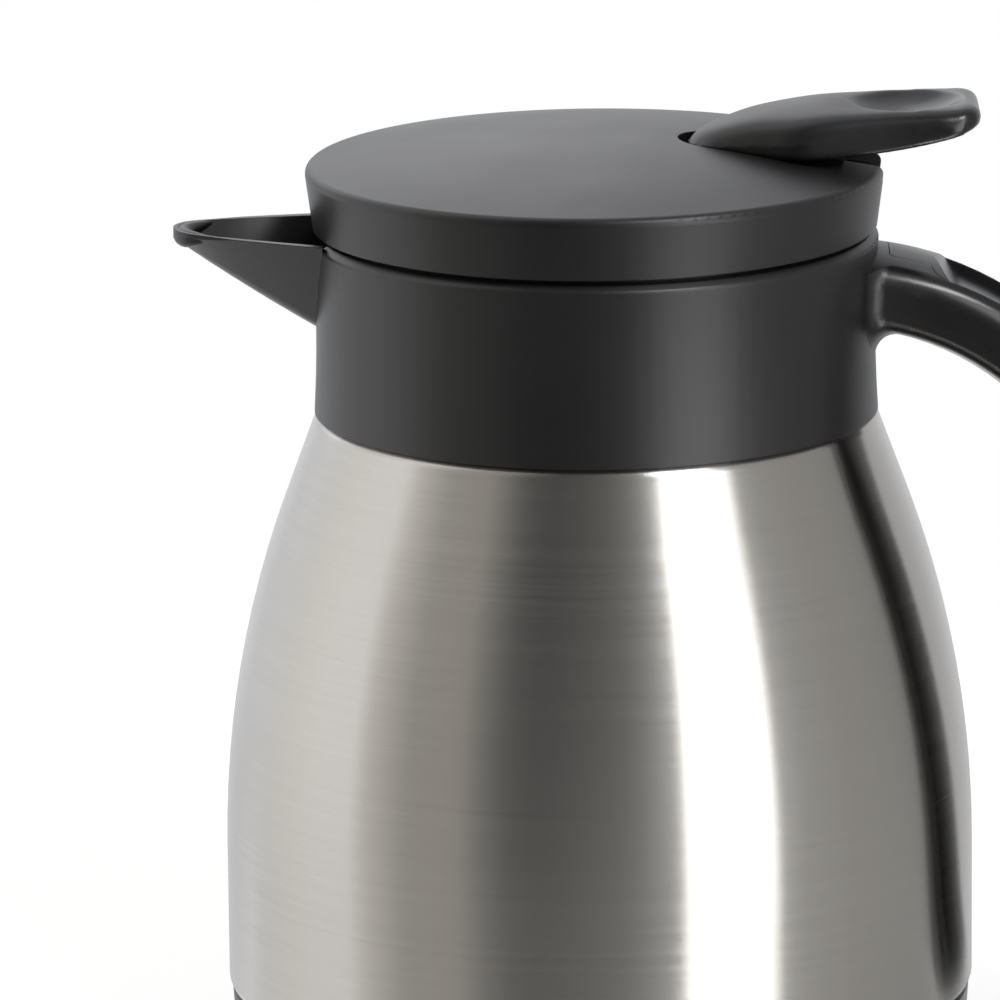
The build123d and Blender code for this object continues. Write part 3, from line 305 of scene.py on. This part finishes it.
# Sharp edges leave the mould with a radius of about 0.3 mm, which catches the light
black_arris = add(black_tree, "ShaderNodeBevel", {"Radius": 0.0003}, samples=4)
black_bump = add(black_tree, "ShaderNodeBump", {"Height": black_grain.outputs["Fac"], "Strength": 0.12,
                                                "Distance": 0.00005, "Normal": black_arris.outputs["Normal"]})
black_tree.links.new(black_bump.outputs["Normal"], black_shader.inputs["Normal"])
# The satin is uneven, and the grip and the thumb rest, beyond 52 mm from the axis, are rubbed smoother
black_satin = add(black_tree, "ShaderNodeMapRange", {"Value": black_flow.outputs["Fac"], "From Min": 0.3,
                                                     "From Max": 0.7, "To Min": 0.34, "To Max": 0.38})
black_axes = add(black_tree, "ShaderNodeSeparateXYZ", {"Vector": black_place.outputs["Object"]})
black_hands = add(black_tree, "ShaderNodeMapRange", {"Value": black_axes.outputs["X"], "From Min": 0.052,
                                                     "From Max": 0.062, "To Min": 1.0, "To Max": 0.62})
black_rough = add(black_tree, "ShaderNodeMath", {0: black_satin.outputs["Result"],
                                                 1: black_hands.outputs["Result"]}, operation="MULTIPLY")
black_tree.links.new(black_rough.outputs["Value"], black_shader.inputs["Roughness"])
dress("base_cap", moulded_black)

# Neck gasket: a flat ring of milky silicone, squeezed between the mouth's lip and the collar's floor.
silicone, silicone_tree, silicone_shader = new_finish("moulded_milky_silicone")
silicone_shader.inputs["IOR"].default_value = 1.41
silicone_shader.inputs["Subsurface Weight"].default_value = 0.35
silicone_shader.inputs["Subsurface Radius"].default_value = (0.0012, 0.0011, 0.0010)
silicone_shader.inputs["Subsurface Scale"].default_value = 1.0
silicone_place = add(silicone_tree, "ShaderNodeTexCoord")
# Clouds of 6 mm, and dust that clings in specks of 0.5 mm
silicone_cloud = add(silicone_tree, "ShaderNodeTexNoise", {"Vector": silicone_place.outputs["Object"],
                                                           "Scale": 160.0, "Detail": 2.0})
silicone_tone = add(silicone_tree, "ShaderNodeMix", {"Factor": silicone_cloud.outputs["Fac"],
                                                     "A": linear("#aeaea9"), "B": linear("#c4c4be")},
                    data_type="RGBA")
silicone_tree.links.new(silicone_tone.outputs["Result"], silicone_shader.inputs["Base Color"])
silicone_dust = add(silicone_tree, "ShaderNodeTexNoise", {"Vector": silicone_place.outputs["Object"],
                                                          "Scale": 2000.0, "Detail": 1.0})
silicone_rough = add(silicone_tree, "ShaderNodeMapRange", {"Value": silicone_dust.outputs["Fac"], "From Min": 0.35,
                                                           "From Max": 0.75, "To Min": 0.38, "To Max": 0.62})
silicone_tree.links.new(silicone_rough.outputs["Result"], silicone_shader.inputs["Roughness"])
dress("neck_gasket", silicone)

# Pouring collar: one moulding with the spout and the open handle, pushed over the neck; the strip
# that closes the handle's channel is snapped in afterwards. Same polypropylene, from a better mould.
dress("pouring_collar", moulded_black)
dress("handle_insert", moulded_black)

# Drip lip: at the spout's tip the same moulding thickens to a round bead, so that the last drop
# breaks off. The bead runs round the nose on both sides, and its ends taper into the wall.
collar_low, collar_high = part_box("pouring_collar")
nose_radius = 0.0076
nose_x = collar_low[0] + nose_radius
bead_radius = 0.00172
bead_inset = 0.00004                                # keeps the bead inside the collar's box
bead_run = nose_radius - bead_radius - bead_inset   # of the bead's middle round the nose's centre
bead_z = collar_high[2] - 0.0016
bead_half_turn = math.radians(84)
bead_sides, bead_steps = 24, 56
end_scale, end_fade = 0.2, 0.0055                   # size of the bead's ends, and length of the taper
end_run = 0.00715                                   # the ends sink into the wall at this radius and height
end_z = collar_high[2] - 0.0005
end_margin = 0.001                                  # in radians, for picking a whole end ring
bpy.ops.object.select_all(action="DESELECT")
bpy.ops.mesh.primitive_circle_add(vertices=bead_sides, radius=bead_radius,
                                  location=(nose_x - bead_run * math.cos(bead_half_turn),
                                            bead_run * math.sin(bead_half_turn), bead_z),
                                  rotation=(math.radians(90), 0, -bead_half_turn))
drip_lip = bpy.context.object
drip_lip.name = "spout_drip_lip"
bpy.ops.object.transform_apply(location=True, rotation=True, scale=True)
bpy.ops.object.mode_set(mode="EDIT")
bpy.ops.mesh.select_all(action="SELECT")
bpy.ops.mesh.spin(steps=bead_steps, angle=2 * bead_half_turn, center=(nose_x, 0, 0), axis=(0, 0, -1))
bpy.ops.mesh.select_mode(type="VERT")
for side in (1, -1):
    bpy.ops.mesh.select_all(action="DESELECT")
    bpy.ops.object.mode_set(mode="OBJECT")
    for vertex in drip_lip.data.vertices:
        turn = math.atan2(vertex.co.y, nose_x - vertex.co.x)
        vertex.select = side * turn > bead_half_turn - end_margin
    bpy.ops.object.mode_set(mode="EDIT")
    bpy.ops.transform.resize(value=(end_scale, end_scale, end_scale),
                             center_override=(nose_x - end_run * math.cos(bead_half_turn),
                                              side * end_run * math.sin(bead_half_turn), end_z),
                             use_proportional_edit=True, proportional_edit_falloff="SMOOTH",
                             proportional_size=end_fade)
bpy.ops.mesh.select_all(action="SELECT")
bpy.ops.mesh.fill_holes(sides=0)
bpy.ops.mesh.normals_make_consistent(inside=False)
bpy.ops.object.mode_set(mode="OBJECT")
bpy.ops.object.shade_smooth_by_angle(angle=math.radians(40))
drip_lip.data.materials.append(moulded_black)
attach(drip_lip, "carafe")

# Stopper: the body with its ring and deck, the windowed sleeve welded on below, and the valve's
# seat pressed in at the bottom, all of the same polypropylene.
for name in ("stopper_body", "plug_sleeve", "valve_seat"):
    dress(name, moulded_black)

# Rubber goods of the stopper, moulded in the gasket's silicone: the lip seal that brushes the neck,
# the O-ring under the seat, the wiper round the stem and the washer under the valve.
for name in ("stopper_seal", "seat_o_ring", "stem_wiper", "valve_washer"):
    dress(name, silicone)

# Valve disc: turned from black acetal rod, which is slicker and greyer than the mouldings and
# keeps the tool's rings.
acetal, acetal_tree, acetal_shader = new_finish("turned_black_acetal")
acetal_shader.inputs["Base Color"].default_value = linear("#1d1d1f")
acetal_shader.inputs["IOR"].default_value = 1.48
acetal_shader.inputs["Roughness"].default_value = 0.33
acetal_place = add(acetal_tree, "ShaderNodeTexCoord")
# Tool rings 0.5 mm apart, drawn coarser than the real 0.1 mm
acetal_rings = add(acetal_tree, "ShaderNodeTexWave", {"Vector": acetal_place.outputs["Object"], "Scale": 630.0,
                                                      "Distortion": 0.4}, wave_type="RINGS", rings_direction="Z")
acetal_bump = add(acetal_tree, "ShaderNodeBump", {"Height": acetal_rings.outputs["Fac"], "Strength": 0.25,
                                                  "Distance": 0.00005})
acetal_tree.links.new(acetal_bump.outputs["Normal"], acetal_shader.inputs["Normal"])
dress("valve_disc", acetal)

# Stem, its cross pin and nut, and the lever's pin: turned from stainless bar, bright, with the
# finest marks of the tool across them.
turned_steel, turned_tree, turned_shader = new_finish("bright_turned_stainless")
turned_shader.inputs["Base Color"].default_value = linear("#cfcdc9")
turned_shader.inputs["Metallic"].default_value = 1.0
turned_place = add(turned_tree, "ShaderNodeTexCoord")
# Tool marks 0.3 mm apart, drawn coarser than the real 0.08 mm
turned_marks = add(turned_tree, "ShaderNodeTexNoise", {"Vector": turned_place.outputs["Object"], "Scale": 3300.0,
                                                       "Detail": 2.0})
turned_rough = add(turned_tree, "ShaderNodeMapRange", {"Value": turned_marks.outputs["Fac"], "From Min": 0.3,
                                                       "From Max": 0.7, "To Min": 0.16, "To Max": 0.30})
turned_tree.links.new(turned_rough.outputs["Result"], turned_shader.inputs["Roughness"])
turned_bump = add(turned_tree, "ShaderNodeBump", {"Height": turned_marks.outputs["Fac"], "Strength": 0.06,
                                                  "Distance": 0.00005})
turned_tree.links.new(turned_bump.outputs["Normal"], turned_shader.inputs["Normal"])
for name in ("valve_stem", "stem_pin", "stem_nut", "lever_pin"):
    dress(name, turned_steel)

# Valve spring: coiled from hard-drawn stainless wire, greyer than bar, with the die's streaks. It
# stands between the valve's disc and the guide above, and shortens as the lever lifts the valve.
spring_low, spring_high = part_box("valve_spring")
spring_wire = 0.0009
spring_turns = 6
spring_radius = 0.0069
spring_inset = 0.00002      # keeps the coil inside its solid's box
spring_wire_sides = 16
spring_steps = 40           # to a turn
spring_start = spring_low[2] + spring_wire / 2 + spring_inset
spring_end = spring_high[2] - spring_wire / 2 - spring_inset
bpy.ops.object.select_all(action="DESELECT")
bpy.ops.mesh.primitive_circle_add(vertices=spring_wire_sides, radius=spring_wire / 2 - spring_inset,
                                  location=(spring_radius, 0, spring_start), rotation=(math.radians(90), 0, 0))
coil = bpy.context.object
coil.name = "valve_spring_coil"
bpy.ops.object.transform_apply(location=True, rotation=True, scale=True)
winding = coil.modifiers.new("winding", "SCREW")
winding.axis = "Z"
winding.angle = math.radians(360)
winding.screw_offset = (spring_end - spring_start) / spring_turns
winding.iterations = spring_turns
winding.steps = spring_steps
winding.render_steps = spring_steps
winding.use_merge_vertices = True
bpy.ops.object.modifier_apply(modifier=winding.name)
# The wire's two cut ends
bpy.ops.object.mode_set(mode="EDIT")
bpy.ops.mesh.select_all(action="SELECT")
bpy.ops.mesh.fill_holes(sides=0)
bpy.ops.mesh.normals_make_consistent(inside=False)
bpy.ops.object.mode_set(mode="OBJECT")
bpy.ops.object.shade_smooth_by_angle(angle=math.radians(40))
drawn_wire, wire_tree, wire_shader = new_finish("hard_drawn_stainless_wire")
wire_shader.inputs["Base Color"].default_value = linear("#b9b7b3")
wire_shader.inputs["Metallic"].default_value = 1.0
wire_place = add(wire_tree, "ShaderNodeTexCoord")
# Streaks along the nearly level turns, 0.2 mm apart in height
wire_along = add(wire_tree, "ShaderNodeMapping", {"Vector": wire_place.outputs["Object"],
                                                  "Scale": (150.0, 150.0, 5000.0)})
wire_streaks = add(wire_tree, "ShaderNodeTexNoise", {"Vector": wire_along.outputs["Vector"], "Scale": 1.0,
                                                     "Detail": 2.0})
wire_rough = add(wire_tree, "ShaderNodeMapRange", {"Value": wire_streaks.outputs["Fac"], "From Min": 0.3,
                                                   "From Max": 0.7, "To Min": 0.24, "To Max": 0.40})
wire_tree.links.new(wire_rough.outputs["Result"], wire_shader.inputs["Roughness"])
coil.data.materials.append(drawn_wire)
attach(coil, "stopper")
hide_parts("valve_spring")
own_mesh(coil)

# Lid cover: the domed lid, moulded like the collar, and held by three stainless screws from below.
dress("lid_cover", moulded_black)
dress("lid_screws", turned_steel)

# Thumb lever: one moulding of the same polypropylene that rocks on its pin. Its plate is softly
# domed, with a hollow that thumbs have polished; below it a web runs to a fork round the stem.
lever_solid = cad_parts["lever"]
# Lengths from the axis and heights of the plate, then what its top is pulled by
plate_nose, plate_tip = 0.0165, 0.0709
plate_underside = 0.1695
side_middle_nose, side_middle_tip = 0.1715, 0.1765     # heights of the middle of the plate's side
crown_from, crown_to, crown_half = 0.032, 0.040, 0.0006
crown_rise, crown_reach = 0.0017, 0.015
tip_corner, tip_corner_y, tip_corner_z = 0.0010, 0.0080, 0.1775
tip_pull, tip_reach = (0.0004, 0, 0.0001), 0.003
tip_land = 0.0030
hollow_x, hollow_top = 0.0575, 0.1792
hollow_half_long, hollow_half_wide, hollow_deep = 0.0102, 0.0106, 0.0032
hollow_share = math.cos(math.radians(30))       # of the cutting ellipsoid's width, at the plate
plate_voxel = 0.0004
rim_rounds, corner_rounds, top_rounds = 130, 20, 16


def take(piece):
    """Make one piece the only one selected, and the active one."""
    bpy.ops.object.select_all(action="DESELECT")
    piece.select_set(True)
    bpy.context.view_layer.objects.active = piece


def lever_part(name, upper):
    """Copy of the lever's solid above or below the plate's underside, closed at the cut."""
    part = bpy.data.objects.new(name, lever_solid.data.copy())
    bpy.context.scene.collection.objects.link(part)
    take(part)
    bpy.ops.object.mode_set(mode="EDIT")
    bpy.ops.mesh.select_all(action="SELECT")
    bpy.ops.mesh.remove_doubles(threshold=0.000001)
    bpy.ops.mesh.bisect(plane_co=(0, 0, plate_underside), plane_no=(0, 0, 1), use_fill=True,
                        clear_inner=upper, clear_outer=not upper)
    bpy.ops.object.mode_set(mode="OBJECT")
    return part


def even_out():
    """Give the plate one even mesh, fine enough for the file."""
    take(thumb_plate)
    even_mesh = thumb_plate.modifiers.new("even_mesh", "REMESH")
    even_mesh.mode = "VOXEL"
    even_mesh.voxel_size = plate_voxel
    bpy.ops.object.modifier_apply(modifier=even_mesh.name)


def on_top(place):
    """Whether a point of the plate lies above the middle of its side."""
    share = (place.x - plate_nose) / (plate_tip - plate_nose)
    return place.z > side_middle_nose + share * (side_middle_tip - side_middle_nose)


def pick(chosen):
    """Open the plate in edit mode, with only the vertices selected that chosen says yes to."""
    bpy.ops.object.mode_set(mode="EDIT")
    bpy.ops.mesh.select_mode(type="VERT")
    bpy.ops.mesh.select_all(action="DESELECT")
    bpy.ops.object.mode_set(mode="OBJECT")
    for vertex in thumb_plate.data.vertices:
        vertex.select = not vertex.hide and chosen(vertex.co)
    bpy.ops.object.mode_set(mode="EDIT")


def pull_top(chosen, move, reach):
    """Pull the chosen vertices of the top, and softly the rest of the top within reach."""
    pick(lambda place: not on_top(place))
    bpy.ops.mesh.hide(unselected=False)
    pick(chosen)
    bpy.ops.transform.translate(value=move, use_proportional_edit=True, proportional_edit_falloff="SMOOTH",
                                proportional_size=reach)
    bpy.ops.mesh.reveal(select=False)
    bpy.ops.object.mode_set(mode="OBJECT")


def ease_edges(chosen, rounds):
    """Rub the chosen vertices down towards their neighbours."""
    pick(chosen)
    bpy.ops.mesh.vertices_smooth(factor=0.5, repeat=rounds)
    bpy.ops.object.mode_set(mode="OBJECT")


def on_crown(place):
    """Ridge along the middle of the plate, ahead of the hollow."""
    return crown_from < place.x < crown_to and abs(place.y) < crown_half


def on_tip_corner(place):
    """Upper end of the tip."""
    return place.x > plate_tip - tip_corner and place.z > tip_corner_z


def on_rim(place):
    """Top outside the hollow, short of the tip's land."""
    in_hollow = ((place.x - hollow_x) / hollow_half_long) ** 2 + (place.y / hollow_half_wide) ** 2 <= 1
    return on_top(place) and place.x < plate_tip - tip_land and not in_hollow


def on_tip_side(place):
    """Both upright corners of the tip."""
    return place.x > plate_tip - tip_land and abs(place.y) > tip_corner_y


thumb_plate = lever_part("thumb_plate", True)
even_out()
pull_top(on_crown, (0, 0, crown_rise), crown_reach)
pull_top(on_tip_corner, tip_pull, tip_reach)
# The hollow is cut by an ellipsoid whose middle stands its own depth above the plate
bpy.ops.object.select_all(action="DESELECT")
bpy.ops.mesh.primitive_uv_sphere_add(segments=96, ring_count=48, radius=1.0,
                                     location=(hollow_x, 0, hollow_top + hollow_deep),
                                     scale=(hollow_half_long / hollow_share, hollow_half_wide / hollow_share,
                                            2 * hollow_deep))
hollow_tool = bpy.context.object
take(thumb_plate)
hollowing = thumb_plate.modifiers.new("hollow", "BOOLEAN")
hollowing.operation = "DIFFERENCE"
hollowing.object = hollow_tool
bpy.ops.object.modifier_apply(modifier=hollowing.name)
bpy.data.objects.remove(hollow_tool)
even_out()
ease_edges(on_rim, rim_rounds)
ease_edges(on_tip_side, corner_rounds)
ease_edges(on_top, top_rounds)
# Web and fork stay as they are in the solid
lever_fork = lever_part("lever_fork", False)
take(thumb_plate)
lever_fork.select_set(True)
bpy.ops.object.join()
thumb_plate.name = "thumb_lever"
bpy.ops.object.shade_smooth_by_angle(angle=math.radians(35))
thumb_plate.data.materials.clear()
thumb_plate.data.materials.append(moulded_black)
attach(thumb_plate, "thumb_lever")
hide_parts("lever")
bpy.ops.object.select_all(action="DESELECT")
